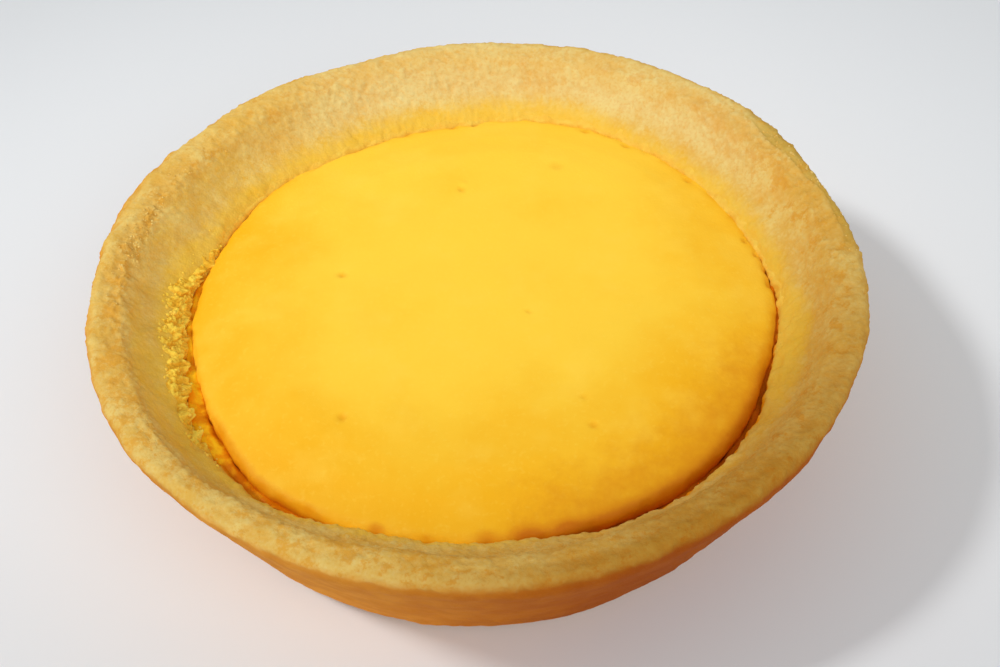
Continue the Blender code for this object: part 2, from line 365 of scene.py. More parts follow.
# A cheese-yellow tint on the left wall, which is painted light
lit_tint = arcs(azimuth, LEFT_WALL_LIT_TINT) * rise(39.0 * MM, 37.5 * MM, radius)
low_wall = rise(39.0 * MM, 37.0 * MM, radius)
# Paler at the back of the wall
paler_and_lit = arc(azimuth, *BACK_WALL_PALER) * rise(15.2 * MM, 18.0 * MM, height) * (0.6 + 0.4 * low_wall)
# Caramel on the foot of the wall, partly painted shade at the front right
burnt_and_shaded = rise(14.8 * MM, 13.5 * MM, height) * np.clip(arcs(azimuth, FOOT_BURNT_AND_SHADED), 0, 1)

paint(crust, "relief", np.clip(0.6 + relief / (0.7 * MM), 0, 1))  # 0 in the hollows and 1 on the tops; the material paints shade into the hollows from it
paint(crust, "browner_and_shaded", browner_and_shaded)
paint(crust, "toasted", np.clip(toasted, -1, 1))
# Painted shade in the crack and on the dropped rim outside it
paint(crust, "crack_shade", cracked * rise(crack_line, crack_line + 0.4 * MM, radius) + crack)
paint(crust, "side", np.maximum(side * (1.0 - untanned), rise(1.2 * MM, 0.4 * MM, height)))
# the cheese stain, and the painted light on the left wall
paint(crust, "cheese", inside * np.maximum(stained, lit_tint))
# paler at the back of the wall, and painted light on the low left wall
paint(crust, "paler_and_lit", inside * (paler_and_lit + 0.12 * arc(azimuth, *LEFT_WALL_LIT) * low_wall))
paint(crust, "caramel", inside * burnt_and_shaded)


def feed(tree, socket, value):
    """Links the value to the socket if it is a socket, and else sets it."""
    if isinstance(value, bpy.types.NodeSocket):
        tree.links.new(value, socket)
    else:
        socket.default_value = value


def math_of(tree, operation, first, second):
    """The result of a Math node, with its two inputs linked or set."""
    node = tree.nodes.new("ShaderNodeMath")
    node.operation = operation
    feed(tree, node.inputs[0], first)
    feed(tree, node.inputs[1], second)
    return node.outputs[0]


def mixed(tree, amount, first, second, way="MIX"):
    """The first colour where the amount is 0, turning to the second where it is 1."""
    node = tree.nodes.new("ShaderNodeMix")
    node.data_type = "RGBA"
    node.blend_type = way
    feed(tree, node.inputs[0], amount)
    feed(tree, node.inputs[6], first)
    feed(tree, node.inputs[7], second)
    return node.outputs[2]


def between(tree, value, low, high, least=0.0, most=1.0):
    """The least up to low, the most from high on, and a smooth step between them."""
    node = tree.nodes.new("ShaderNodeMapRange")
    node.interpolation_type = "SMOOTHSTEP"
    feed(tree, node.inputs["Value"], value)
    for name, number in (("From Min", low), ("From Max", high), ("To Min", least), ("To Max", most)):
        feed(tree, node.inputs[name], number)
    return node.outputs["Result"]


def times(tree, value, factor):
    """The value times the factor, either of which may be linked."""
    return math_of(tree, "MULTIPLY", value, factor)


def frayed(tree, value, clouding, amount):
    """The value, made ragged by so much of a noise that lies round a half."""
    return math_of(tree, "ADD", value, times(tree, math_of(tree, "SUBTRACT", clouding, 0.5), amount))


def clouds(tree, place, scale, detail, roughness):
    """Soft noise at this place, with so many lumps to the metre."""
    node = tree.nodes.new("ShaderNodeTexNoise")
    feed(tree, node.inputs["Vector"], place)
    feed(tree, node.inputs["Scale"], scale)
    node.inputs["Detail"].default_value = detail
    node.inputs["Roughness"].default_value = roughness
    return node.outputs["Fac"]


def painted(tree, name):
    """What paint() left on the piece under this name."""
    node = tree.nodes.new("ShaderNodeAttribute")
    node.attribute_name = name
    return node.outputs["Fac"]


def baked_group():
    """Baked unevenness: soft patches, small specks, and the height of the grain."""
    group = bpy.data.node_groups.new("Baked surface", "ShaderNodeTree")
    group.interface.new_socket("Place", in_out="INPUT", socket_type="NodeSocketVector")
    for name in ("Patches Per Metre", "Grains Per Metre"):
        group.interface.new_socket(name, in_out="INPUT", socket_type="NodeSocketFloat")
    for name in ("Patches", "Specks", "Height"):
        group.interface.new_socket(name, in_out="OUTPUT", socket_type="NodeSocketFloat")
    given = group.nodes.new("NodeGroupInput").outputs
    result = group.nodes.new("NodeGroupOutput").inputs
    place, patch_scale, grain_scale = given[0], given[1], given[2]
    patches = clouds(group, place, patch_scale, 3.0, 0.6)
    height = clouds(group, place, grain_scale, 2.0, 0.6)
    specks = clouds(group, place, times(group, grain_scale, 0.8), 1.0, 0.5)
    group.links.new(patches, result["Patches"])
    group.links.new(specks, result["Specks"])
    group.links.new(height, result["Height"])
    return group


BAKED = baked_group()


def new_look(name, patch_size, grain_size, grain_height, **settings):
    """A material with the baked surface in it, and its node tree, its shader and the group's node."""
    look = bpy.data.materials.new(name)
    look.use_nodes = True
    tree = look.node_tree
    shader = tree.nodes["Principled BSDF"]
    for socket, value in settings.items():
        shader.inputs[socket.replace("_", " ")].default_value = value
    baked = tree.nodes.new("ShaderNodeGroup")
    baked.node_tree = BAKED
    tree.links.new(tree.nodes.new("ShaderNodeTexCoord").outputs["Object"], baked.inputs["Place"])
    baked.inputs["Patches Per Metre"].default_value = 1.0 / patch_size
    baked.inputs["Grains Per Metre"].default_value = 1.0 / grain_size
    bump = tree.nodes.new("ShaderNodeBump")
    bump.inputs["Strength"].default_value = 1.0
    bump.inputs["Distance"].default_value = grain_height
    tree.links.new(baked.outputs["Height"], bump.inputs["Height"])
    tree.links.new(bump.outputs["Normal"], shader.inputs["Normal"])
    return look, tree, shader, baked


def crust_look():
    """Pale and golden patches, browned blotches and specks, and what the paints add in places, with painted
    shade in the hollows, in the crack and towards the front right, and painted light on the left wall.
    """
    look, tree, shader, baked = new_look(
        "baked shortcrust", patch_size=3.6 * MM, grain_size=0.28 * MM, grain_height=0.07 * MM,
        Specular_IOR_Level=0.1)
    patches, specks = baked.outputs["Patches"], baked.outputs["Specks"]
    blotches = clouds(tree, baked.inputs["Place"].links[0].from_socket, 1.0 / (1.9 * MM), 6.0, 0.74)
    shaded_hollow = between(tree, painted(tree, "relief"), 0.60, 0.15)

    colour = mixed(tree, between(tree, patches, 0.28, 0.68), PALE_DOUGH, GOLDEN_DOUGH)
    toast = times(tree, painted(tree, "toasted"), 0.11)
    browned = between(tree, math_of(tree, "ADD", blotches, toast), 0.55, 0.64)
    colour = mixed(tree, times(tree, browned, 0.75), colour, BROWNED_DOUGH)
    # paler at the back of the wall, and painted light on the left wall
    colour = mixed(tree, times(tree, painted(tree, "paler_and_lit"), 0.6), colour, PALEST_DOUGH)
    colour = mixed(tree, between(tree, specks, 0.50, 0.68, 0.0, 0.27), colour, BROWNED_DOUGH)
    colour = mixed(tree, between(tree, specks, 0.46, 0.30, 0.0, 0.19), colour, PALEST_DOUGH)
    # painted shade in the hollows of the relief
    colour = mixed(tree, times(tree, shaded_hollow, 0.42), colour, BROWNED_DOUGH)

    side_colour = mixed(tree, between(tree, patches, 0.35, 0.65), SIDE_LIGHT, SIDE_DARK)
    # painted shade in the hollows of the side
    side_colour = mixed(tree, times(tree, shaded_hollow, 0.5), side_colour, SIDE_DARK)
    # the side is browner, and painted darker as shade, towards the front right
    side_colour = mixed(tree, painted(tree, "browner_and_shaded"), side_colour, TIMES_SIDE_BROWNER_AND_SHADED, "MULTIPLY")
    colour = mixed(tree, painted(tree, "side"), colour, side_colour)

    # patchy painted shade in and outside the crack
    crack_shade = times(tree, painted(tree, "crack_shade"), between(tree, blotches, 0.30, 0.65, 0.85, 0.40))
    colour = mixed(tree, crack_shade, colour, TIMES_CRACK_SHADE, "MULTIPLY")
    # the cheese stain, and the painted light on the left wall
    stain = between(tree, frayed(tree, painted(tree, "cheese"), blotches, 0.9), 0.12, 0.88)
    colour = mixed(tree, times(tree, stain, 0.72), colour, CHEESE_STAIN)
    # browner, with painted shade, towards the front and the right
    colour = mixed(tree, painted(tree, "browner_and_shaded"), colour, TIMES_BROWNER_AND_SHADED, "MULTIPLY")
    # caramel, partly painted shade at the front right
    burnt_and_shaded = between(tree, frayed(tree, painted(tree, "caramel"), blotches, 0.9), 0.25, 0.75)
    feed(tree, shader.inputs["Base Color"], mixed(tree, burnt_and_shaded, colour, CARAMEL))
    feed(tree, shader.inputs["Roughness"], between(tree, burnt_and_shaded, 0.0, 1.0, 0.85, 0.60))
    return look


crust.data.materials.append(crust_look())
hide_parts("crust")
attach(crust, "root")

# ---- The filling ----
# Cream cheese beaten with egg and sugar, poured into the case and baked to a soft, satin dome with a
# rolled edge. At the back it has baked onto the wall, and at the left it has shrunk away from it.

FILLING_STEPS = 480
FILLING_EVENING = 6
FILLING_OUTLINE = (  # as the crust's, from the middle of the top to the middle of the underside
    (0.0, 16.5 * MM, 1),
    (1.2 * MM, 16.5 * MM, 1),
    (26.5 * MM, 16.1 * MM, 74),
    (33.9 * MM, 14.5 * MM, 26),
    (29.7 * MM, 4.75 * MM, 14),
    (0.0, 4.75 * MM, 4),
)
FILLED_UP = 0.55 * MM  # how far the rolled edge is filled up where it has baked onto the wall
BAKED_ON = (80, 60, 14)  # that stretch, as (middle, half width, ends)
ROLL = 1.15 * MM  # how wide the rolled edge is
ROLLED_WITHIN = (1.1 * MM, 0.3 * MM)  # of the edge, from where it is 0 to where it is full, as the next three
ROLLED_ABOVE = (11.5 * MM, 13.0 * MM)
FILLED_ABOVE = (12.0 * MM, 13.2 * MM)
TOP_ABOVE = (13.5 * MM, 15.0 * MM)
FILLING_RELIEF = (
    ("top", "CLOUDS", 7.0 * MM, 0.20 * MM, 0.50, {"noise_depth": 1}),
    ("edge", "CLOUDS", 2.4 * MM, 0.45 * MM, 0.55, {"noise_depth": 1}),
    ("edge", "CLOUDS", 1.0 * MM, 0.30 * MM, 0.50, {"noise_depth": 2}),
    ("top", "CLOUDS", 1.8 * MM, 0.05 * MM, 0.50, {"noise_depth": 2}),
)
MARKS = (  # (x, y, radius, depth) of burst bubbles and small dents
    (-15.4 * MM, 3.6 * MM, 0.75 * MM, 0.34 * MM),
    (-14.4 * MM, -17.7 * MM, 0.75 * MM, 0.34 * MM),
    (-1.5 * MM, 17.6 * MM, 0.70 * MM, 0.25 * MM),
    (-1.3 * MM, 18.7 * MM, 0.60 * MM, -0.12 * MM),
    (11.4 * MM, -20.3 * MM, 0.65 * MM, 0.30 * MM),
    (10.7 * MM, -16.5 * MM, 0.55 * MM, 0.16 * MM),
    (18.4 * MM, 12.0 * MM, 0.60 * MM, -0.10 * MM),
    (10.4 * MM, 21.3 * MM, 1.30 * MM, 0.14 * MM),
    (5.6 * MM, -3.8 * MM, 0.55 * MM, 0.16 * MM),
    (25.2 * MM, -14.1 * MM, 1.10 * MM, 0.12 * MM),
    (31.6 * MM, 7.5 * MM, 0.60 * MM, 0.50 * MM),
    (32.5 * MM, 5.2 * MM, 0.60 * MM, 0.50 * MM),
    (33.2 * MM, 2.6 * MM, 0.50 * MM, 0.50 * MM),
    (33.1 * MM, 0.2 * MM, 0.50 * MM, 0.50 * MM),
    (26.5 * MM, 18.9 * MM, 0.80 * MM, 0.35 * MM),
    (19.5 * MM, 26.2 * MM, 0.90 * MM, 0.35 * MM),
    (14.6 * MM, 29.6 * MM, 0.90 * MM, 0.30 * MM),
    (0.2 * MM, 32.3 * MM, 0.90 * MM, 0.30 * MM),
    (-2.5 * MM, 31.9 * MM, 0.90 * MM, 0.30 * MM),
)
MARKED_ABOVE = 12 * MM
DEEP_MARK = 0.3 * MM  # a mark this deep is as orange as any
SHADE_TOWARDS = 295  # the azimuth towards which painted shade deepens the filling's colour, as the light falls away
# deeper near the rim, and paler at the back as painted light
RIPER_RIM_AND_LIT_BACK = ((-0.55, 90, 35, 30), (0.15, 185, 25, 25))
RIPER_EDGE = (135, 32, 18)
# brown along the edge where it caught, and at the front right also painted shade where the edge rolls away from
# the light
EDGE_BROWNED_AND_SHADED = ((0.75, 308, 26, 14), (0.6, 226, 12, 10), (0.1, 190, 30, 20))
# painted shade over the front right of the filling
FRONT_RIGHT_SHADED = (310, 22, 32)
# painted shade along the back edge
BACK_EDGE_SHADED = (75, 70, 10)
BROWNED_SPOTS = (  # (azimuth, radius, how brown) of spots that have caught along the front of the edge
    (251, 1.5 * MM, 1.0),
    (260, 1.3 * MM, 0.6),
    (270, 1.9 * MM, 0.7),
    (277, 2.2 * MM, 0.8),
    (284, 1.6 * MM, 0.5),
)
SPOTS_RING = 32.9 * MM

FILLING_YELLOW = (0.985, 0.612, 0.041, 1.0)
FILLING_DEEP = (0.94, 0.47, 0.008, 1.0)
FILLING_PALE = (1.0, 0.65, 0.070, 1.0)
# orange and brown where it has caught, and for the painted shade
FILLING_ORANGE = (0.80, 0.320, 0.004, 1.0)
FILLING_BROWN = (0.64, 0.185, 0.001, 1.0)

filling = turned("tart_filling", FILLING_OUTLINE, FILLING_STEPS)
draw_onto(filling, "filling", FILLING_EVENING)

# The edge is filled up at the back, and roughened, and the top swells a little
coords, radius, height, azimuth = places(filling)
packed_edge = probe_round("filling", WIDEST_LEVEL, False)
from_edge = np.maximum(0.0, along(packed_edge, azimuth) - radius)
rolled = rise(*ROLLED_WITHIN, from_edge) * rise(*ROLLED_ABOVE, height)
filled_up = np.maximum(0.0, 1.0 - from_edge / ROLL) ** 2 * rise(*FILLED_ABOVE, height)
coords[:, 2] += FILLED_UP * arc(azimuth, *BAKED_ON) * filled_up
move_to(filling, coords)
weigh(filling, "edge", rolled)
weigh(filling, "top", rise(*TOP_ABOVE, height))
roughen(filling, FILLING_RELIEF)

# Bubbles have burst on it
coords, radius, height, azimuth = places(filling)
from_edge = along(packed_edge, azimuth) - radius
dent = np.zeros(len(coords))
for mark_x, mark_y, mark_radius, depth in MARKS:
    away = np.hypot(coords[:, 0] - mark_x, coords[:, 1] - mark_y)
    bell = hump(away, 0.0, mark_radius) * (height > MARKED_ABOVE)
    coords[:, 2] -= depth * bell
    dent = np.maximum(dent, bell * np.clip(depth / DEEP_MARK, 0, 1))
move_to(filling, coords)

# What the material reads
# Deeper towards the rim, with painted shade deepening it towards the front right and painted light paling it at
# the back
across = coords[:, :2] @ (math.cos(math.radians(SHADE_TOWARDS)), math.sin(math.radians(SHADE_TOWARDS)))
riper_and_shaded = (
    0.36 * rise(4 * MM, 32 * MM, across)
    + rise(12 * MM, 33 * MM, radius) * (0.55 + arcs(azimuth, RIPER_RIM_AND_LIT_BACK))
    + 0.15 * rise(27 * MM, 32.5 * MM, radius) * arc(azimuth, *RIPER_EDGE))
spots = np.zeros(len(coords))
for spot_azimuth, spot_radius, brown in BROWNED_SPOTS:
    turn = math.radians(spot_azimuth)
    away = np.hypot(coords[:, 0] - SPOTS_RING * math.cos(turn), coords[:, 1] - SPOTS_RING * math.sin(turn))
    spots = np.maximum(spots, brown * hump(away, 0.0, spot_radius))
# Brown spots, the browned side and edge, and painted shade at the front right and along the back edge
browning_and_shade = (
    spots
    + rise(14.0 * MM, 13.0 * MM, height)
    + rise(1.8 * MM, 0.2 * MM, from_edge) * (0.15 + arcs(azimuth, EDGE_BROWNED_AND_SHADED))
    + 0.22 * rise(2.2 * MM, 0.5 * MM, from_edge) * arc(azimuth, *BACK_EDGE_SHADED)
    + 0.72 * rise(20.0 * MM, 34.0 * MM, radius) * arc(azimuth, *FRONT_RIGHT_SHADED))

paint(filling, "dent", dent)
paint(filling, "riper_and_shaded", np.clip(riper_and_shaded, 0, 1))
paint(filling, "browning_and_shade", np.clip(browning_and_shade, 0, 2))


def filling_look():
    """Yellow cheese, deeper towards the rim and pale in patches, with pale specks that are painted glints,
    brown where it has caught, painted shade at the front right and along the back edge, and painted light at
    the back.
    """
    look, tree, shader, baked = new_look(
        "baked cheese filling", patch_size=7.0 * MM, grain_size=0.42 * MM, grain_height=0.03 * MM,
        Specular_IOR_Level=0.15)
    patches, specks = baked.outputs["Patches"], baked.outputs["Specks"]
    place = baked.inputs["Place"].links[0].from_socket
    broad = clouds(tree, place, 1.0 / (12.0 * MM), 4.0, 0.6)
    fine = clouds(tree, place, 1.0 / (2.0 * MM), 4.0, 0.65)

    # deeper near the rim, with painted shade towards the front right and painted light at the back
    riper_and_shaded = frayed(tree, painted(tree, "riper_and_shaded"), broad, 1.4)
    colour = mixed(tree, between(tree, riper_and_shaded, -0.15, 1.0), FILLING_YELLOW, FILLING_DEEP)
    colour = mixed(tree, times(tree, between(tree, patches, 0.48, 0.72), 0.30), colour, FILLING_PALE)
    # pale specks, painted glints of the satin surface
    colour = mixed(tree, between(tree, specks, 0.55, 0.78, 0.0, 0.22), colour, FILLING_PALE)
    # brown where it has caught, and painted shade at the front right and along the back edge
    browning_and_shade = frayed(tree, painted(tree, "browning_and_shade"), fine, 0.8)
    colour = mixed(tree, between(tree, browning_and_shade, 0.15, 1.0), colour, FILLING_ORANGE)
    colour = mixed(tree, between(tree, browning_and_shade, 0.9, 1.7), colour, FILLING_BROWN)
    colour = mixed(tree, times(tree, painted(tree, "dent"), 0.6), colour, FILLING_ORANGE)
    feed(tree, shader.inputs["Base Color"], colour)
    feed(tree, shader.inputs["Roughness"], between(tree, patches, 0.3, 0.7, 0.50, 0.62))
    return look


filling.data.materials.append(filling_look())
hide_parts("filling")
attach(filling, "root")

# ---- The syrup in the gap ----
# At the left and at the front right the filling has shrunk from the wall, and its syrup has caramelised low
# in the gap. It is a ring drawn between the filling's edge and the wall, which hide the rest of it.
# Its dark colour, at the front right and next to the filling, is partly caramel and partly painted shade deep
# in the gap.

SYRUP_RADIUS = 33.5 * MM
SYRUP_HALF = 1.0 * MM  # half its depth
SYRUP_SUNK = 0.4 * MM  # how far it reaches into the filling and the wall
SYRUP_SQUARE = 0.35  # how round its section is, from a flat-topped 0 to a round 1
LEFT_GAP = (206, 8, 7)  # the stretches as (middle, half width, ends)
BEHIND_TORN = (184, 14, 8)
SYRUP_PALER = ((0.9, *BEHIND_TORN), (0.25, 232, 12, 8))
SYRUP_TOP = 13.3 * MM  # and how much higher it is in places
SYRUP_HIGHER = (
    (0.45 * MM, *LEFT_GAP),
    (0.60 * MM, *BEHIND_TORN),
    (-0.35 * MM, 306, 24, 12),
    (0.45 * MM, 4, 20, 10),
)
SYRUP_TILT = 0.4 * MM  # how far its outer edge is lifted in the left gap
SYRUP_RELIEF = (
    ("upper", "CLOUDS", 1.4 * MM, 0.90 * MM, 0.50, {"noise_depth": 2}),
    ("upper", "CLOUDS", 0.5 * MM, 0.45 * MM, 0.50, {"noise_depth": 2}),
)
RING_REACH = 0.8 * MM  # how far above and below a level a piece's radius is measured

SYRUP_YELLOW = (0.97, 0.52, 0.010, 1.0)
SYRUP_ORANGE = (0.90, 0.31, 0.002, 1.0)
# caramel, and painted shade, deep in the gap
SYRUP_DARK = (0.64, 0.170, 0.001, 1.0)


def radius_round(piece, level, pick, start):
    """The piece's radius near this level every few degrees, its largest or smallest as pick and start say."""
    coords, radius, height, azimuth = places(piece)
    near = np.abs(height - level) < RING_REACH
    ring = np.full(360 // RING_STEP, start)
    pick.at(ring, np.round(azimuth[near] / RING_STEP).astype(int) % len(ring), radius[near])
    return ring


bpy.ops.object.select_all(action="DESELECT")
bpy.ops.mesh.primitive_torus_add(
    major_radius=SYRUP_RADIUS, minor_radius=SYRUP_HALF, major_segments=900, minor_segments=24)
syrup = bpy.context.object
syrup.name = syrup.data.name = "caramelised_syrup"
bpy.ops.object.shade_smooth()

coords, radius, height, azimuth = places(syrup)
inner = along(radius_round(filling, WIDEST_LEVEL, np.maximum, 0.0), azimuth) - SYRUP_SUNK
outer = along(radius_round(crust, WIDEST_LEVEL, np.minimum, 1.0), azimuth) + SYRUP_SUNK
across = (radius - SYRUP_RADIUS) / SYRUP_HALF  # from -1 at the filling to 1 at the wall
lift = height / SYRUP_HALF
left_gap = arc(azimuth, *LEFT_GAP)
coords[:, :2] *= ((0.5 * (inner + outer) + across * 0.5 * (outer - inner)) / radius)[:, None]
coords[:, 2] = SYRUP_TOP + arcs(azimuth, SYRUP_HIGHER) + SYRUP_TILT * across * left_gap
coords[:, 2] += SYRUP_HALF * (np.sign(lift) * np.abs(lift) ** SYRUP_SQUARE - 1.0)
move_to(syrup, coords)
weigh(syrup, "upper", rise(0.0, 0.5, lift))
roughen(syrup, SYRUP_RELIEF)
# Dark, partly painted shade, except in the open left gap away from the filling and behind the torn band
paler_and_lit = left_gap * rise(-0.8, 0.1, across) + arcs(azimuth, SYRUP_PALER)
paint(syrup, "dark", np.clip(1.0 - paler_and_lit, 0, 1))


def syrup_look():
    """Yellow to orange syrup, turning dark where it is painted so, partly as caramel and partly as painted
    shade.
    """
    look, tree, shader, baked = new_look(
        "caramelised syrup", patch_size=1.5 * MM, grain_size=0.45 * MM, grain_height=0.06 * MM,
        Specular_IOR_Level=0.05, Roughness=0.45)
    patches = baked.outputs["Patches"]
    colour = mixed(tree, between(tree, patches, 0.38, 0.62), SYRUP_YELLOW, SYRUP_ORANGE)
    # partly caramel, partly painted shade
    dark = between(tree, frayed(tree, painted(tree, "dark"), patches, 1.2), 0.2, 0.9)
    feed(tree, shader.inputs["Base Color"], mixed(tree, dark, colour, SYRUP_DARK))
    return look


syrup.data.materials.append(syrup_look())
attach(syrup, "root")

# ---- The cheese fringe ----
# Round the back and the right the edge of the cheese has baked onto the foot of the wall in a narrow ragged
# fringe. It is a copy of the wall's faces, raised where there is cheese and sunk into the crust where there
# is none, and given a thickness.

FRINGE_WALL = {"low": 13.4 * MM, "high": 16.6 * MM, "out_to": 37.0 * MM, "stretch": (77, 90, 1)}
FRINGE_THICKNESS = 0.5 * MM
FRINGE_SUNK = 0.25 * MM
FRINGE_RAISED = 0.40 * MM
FRINGE_TOP = 14.6 * MM
FRINGE_HIGHER = (0.5 * MM, 80, 60, 22)  # (amount, middle, half width, ends)
FRINGE_COVERED = (80, 84, 6)
FRINGE_EDGE = 0.5 * MM  # half the height over which it runs out
FRINGE_UNEVEN = ((0.5 * MM, 2.6 * MM), (0.3 * MM, 1.0 * MM))  # (height, size) of each layer of lumps
FRINGE_ROUGH = ((0.14 * MM, 1.5 * MM), (0.10 * MM, 0.6 * MM))
TIPS = 0.6 * MM  # the roughness from the deepest hollow to the palest tip, over which the colour runs from painted shade to painted light

FRINGE_YELLOW = (0.86, 0.575, 0.075, 1.0)
# the painted shade between the fringe's lumps, and its deep patches
FRINGE_DEEP = (0.80, 0.440, 0.035, 1.0)


def copy_of_wall(name, cuts, low, high, out_to, stretch):
    """A new piece from the crust's faces between two levels along a stretch, cut finer so many times."""
    coords, radius, height, azimuth = places(crust)
    wanted = (height > low) & (height < high) & (radius < out_to) & (arc(azimuth, *stretch) > 0)
    bpy.ops.object.select_all(action="DESELECT")
    crust.select_set(True)
    bpy.context.view_layer.objects.active = crust
    bpy.ops.object.mode_set(mode="EDIT")
    bpy.ops.mesh.select_all(action="DESELECT")
    bpy.ops.object.mode_set(mode="OBJECT")
    for face in crust.data.polygons:
        face.select = bool(wanted[list(face.vertices)].all())
    bpy.ops.object.mode_set(mode="EDIT")
    bpy.ops.mesh.select_mode(type="FACE")
    bpy.ops.mesh.duplicate()
    bpy.ops.mesh.separate(type="SELECTED")
    bpy.ops.object.mode_set(mode="OBJECT")
    piece = next(found for found in bpy.context.selected_objects if found != crust)
    piece.name = piece.data.name = name
    for key in list(piece.keys()):
        del piece[key]
    piece.data.materials.clear()
    bpy.ops.object.select_all(action="DESELECT")
    piece.select_set(True)
    bpy.context.view_layer.objects.active = piece
    if cuts:
        bpy.ops.object.mode_set(mode="EDIT")
        bpy.ops.mesh.select_all(action="SELECT")
        bpy.ops.mesh.subdivide(number_cuts=cuts)
        bpy.ops.object.mode_set(mode="OBJECT")
    return piece


def layered(spots, layers):
    """The sum of layers of lumps at each spot, each given as (height, size)."""
    return sum(height * lumps(spots, size) for height, size in layers)


def lay_on_wall(piece, covered, sunk, raised, thickness, rough):
    """Sinks the faces copied from the wall into it, thickens them, and raises them where they are covered.

    The rough lifts are added where it is covered, and are painted on as tips, from which the material paints
    light on the tops and shade between them.
    """
    coords, *_, azimuth = places(piece)
    turn = np.radians(azimuth)
    out = np.stack([-np.cos(turn), -np.sin(turn), np.ones(len(turn))], 1) * math.sqrt(0.5)
    move_to(piece, coords - sunk * out)
    apply(piece, "SOLIDIFY", thickness=thickness, offset=-1.0)
    moved = places(piece)[0]
    moved[:len(coords)] += out * (covered * (raised + rough))[:, None]
    move_to(piece, moved)
    # the lifts, from which the material paints light on the tops and shade between them
    paint(piece, "tips", np.pad(np.clip(0.5 + rough / TIPS, 0, 1), (0, len(moved) - len(coords))))


fringe = copy_of_wall("cheese_fringe", 0, **FRINGE_WALL)
coords, radius, height, azimuth = places(fringe)
top = FRINGE_TOP + arcs(azimuth, [FRINGE_HIGHER]) + layered(coords, FRINGE_UNEVEN)
covered = rise(top + FRINGE_EDGE, top - FRINGE_EDGE, height) * arc(azimuth, *FRINGE_COVERED)
rough = layered(coords, FRINGE_ROUGH)
lay_on_wall(fringe, covered, FRINGE_SUNK, FRINGE_RAISED, FRINGE_THICKNESS, rough)


def cheese_look(name, pale, deep):
    """Crumbly cheese, pale on its tips as painted light and deep between them as painted shade, with deep
    patches as well.
    """
    look, tree, shader, baked = new_look(
        name, patch_size=1.6 * MM, grain_size=0.30 * MM, grain_height=0.10 * MM,
        Specular_IOR_Level=0.25, Roughness=0.65)
    # painted light on the tips and painted shade between them
    colour = mixed(tree, between(tree, painted(tree, "tips"), 0.25, 0.80), deep, pale)
    patch = between(tree, baked.outputs["Patches"], 0.48, 0.70)
    feed(tree, shader.inputs["Base Color"], mixed(tree, times(tree, patch, 0.4), colour, deep))
    return look


fringe.data.materials.append(cheese_look("cheese fringe", FRINGE_YELLOW, FRINGE_DEEP))
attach(fringe, "root")

# ---- Torn cheese on the left of the wall ----
# The edge of the filling tore away from the wall there and left a crumbly, spongy band on it. It is made as
# the fringe is, from finer faces, and is much rougher.

TORN_WALL = {"low": 13.6 * MM, "high": 17.4 * MM, "out_to": 37.4 * MM, "stretch": (187, 33, 1)}
TORN_CUTS = 2
TORN_THICKNESS = 0.5 * MM
TORN_SUNK = 0.35 * MM
TORN_RAISED = 0.60 * MM
TORN_TOP = 14.3 * MM
TORN_HIGHER = (1.6 * MM, 188, 12, 18)
TORN_COVERED = (187, 26, 6)
TORN_EDGE = (0.6 * MM, -0.4 * MM)  # above its top, from where it is 0 to where it is full
TORN_ASTRAY = 4 / MM  # degrees by which its ends wander for each metre of unevenness
TORN_UNEVEN = ((0.7 * MM, 2.3 * MM), (0.5 * MM, 0.8 * MM))
TORN_ROUGH = ((0.30 * MM, 0.9 * MM), (0.16 * MM, 0.26 * MM))
CURD_SIZE = 0.36 * MM
CURD_HEIGHT = 0.36 * MM
FLAKES_ROUND = 20 * MM  # the radius that the flakes are laid out at, which draws them out along the wall
FLAKES_ASTRAY = ((0.25 * MM, 1.2 * MM),)
TONGUE = 1.1 * MM  # how far its flakes reach over the gap
TONGUE_LUMPS = ((1.8, 1.1 * MM), (0.5, 0.4 * MM))
TONGUE_LEVEL = 14.7 * MM
TONGUE_REACH = 1.4 * MM

TORN_PALE = (0.91, 0.63, 0.060, 1.0)
# the painted shade between the torn band's lumps and its deep patches, and the dark specks of the cheese crumbs
TORN_DEEP = (0.78, 0.390, 0.012, 1.0)


def curds(spots, size):
    """Lumps of this size at each spot, from about 0 between them to 1 on their tops."""
    return np.array([1.0 - min(1.0, noise.voronoi(Vector(spot) / size)[0][0]) for spot in spots])


torn = copy_of_wall("torn_cheese", TORN_CUTS, **TORN_WALL)
coords, radius, height, azimuth = places(torn)
uneven = layered(coords, TORN_UNEVEN)
top = TORN_TOP + arcs(azimuth, [TORN_HIGHER]) + uneven
covered = rise(top + TORN_EDGE[0], top + TORN_EDGE[1], height)
covered *= arc(azimuth + TORN_ASTRAY * uneven, *TORN_COVERED)
flakes = np.stack([radius, np.radians(azimuth) * FLAKES_ROUND, height], 1)
flakes += layered(coords, FLAKES_ASTRAY)[:, None]
rough = layered(coords, TORN_ROUGH) + CURD_HEIGHT * (curds(flakes, CURD_SIZE) - 0.5)
tongues = TONGUE * np.clip(layered(flakes, TONGUE_LUMPS), 0, 1) * covered
tongues *= hump(height, TONGUE_LEVEL, TONGUE_REACH)
coords[:, :2] *= (1.0 - tongues / radius)[:, None]
move_to(torn, coords)
lay_on_wall(torn, covered, TORN_SUNK, TORN_RAISED, TORN_THICKNESS, rough)
torn.data.materials.append(cheese_look("torn cheese", TORN_PALE, TORN_DEEP))
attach(torn, "root")

# ---- Crumbs ----
# Broken bits of cheese on the torn band, and sandy crumbs of crust along the broken rim. Each is a small
# uneven lump, a copy of one of a few, turned and stretched by chance and pressed into what it lies on.

